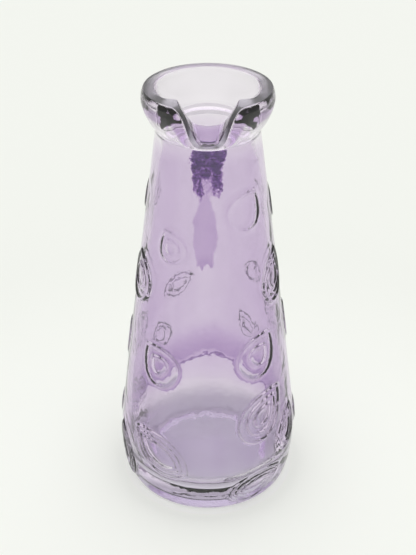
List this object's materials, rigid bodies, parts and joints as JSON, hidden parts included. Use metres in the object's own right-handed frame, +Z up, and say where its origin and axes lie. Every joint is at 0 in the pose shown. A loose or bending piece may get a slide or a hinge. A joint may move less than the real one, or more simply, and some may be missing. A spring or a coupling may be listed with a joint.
{
  "type": "pouring carafe",
  "caption": "Tapered carafe in moulded glass with a pale purple stain, with a thick collar, a pinched pouring lip and pressed almond medallions; holds and pours liquids.",
  "frame": {"origin": "centre of the ring that it stands on, on the table", "axes": "+Z up along the vessel's axis, -Y towards the pouring lip, +X to the right of someone who faces the lip"},
  "size_m": [0.1135, 0.1124, 0.265],
  "materials": {
    "amethyst_glass": "clear moulded glass, slightly wavy, with a thin purple stain on the inside of the body"
  },
  "bodies": {
    "root": {"foot_ring": "amethyst_glass", "base": "amethyst_glass", "heel": "amethyst_glass", "body_wall": "amethyst_glass", "neck_ring": "amethyst_glass", "collar": "amethyst_glass", "pouring_lip": "amethyst_glass", "mould_seam_front": "amethyst_glass", "mould_seam_back": "amethyst_glass", "medallion_front_left_top": "amethyst_glass", "medallion_front_left_middle": "amethyst_glass", "medallion_front_left_low": "amethyst_glass", "medallion_front_right_top": "amethyst_glass", "medallion_front_right_middle": "amethyst_glass", "medallion_front_right_low": "amethyst_glass", "medallion_front_right_heel": "amethyst_glass", "medallion_right_high": "amethyst_glass", "medallion_right_low": "amethyst_glass", "medallion_right_middle": "amethyst_glass", "medallion_right_top": "amethyst_glass", "medallion_right_heel": "amethyst_glass", "medallion_left_high": "amethyst_glass", "medallion_left_heel": "amethyst_glass", "medallion_left_middle": "amethyst_glass", "medallion_left_top": "amethyst_glass", "medallion_back_right_middle": "amethyst_glass", "medallion_back_right_high": "amethyst_glass", "medallion_back_left_high": "amethyst_glass", "medallion_back_left_middle": "amethyst_glass", "medallion_back_left_low": "amethyst_glass"}
  },
  "joints": []
}
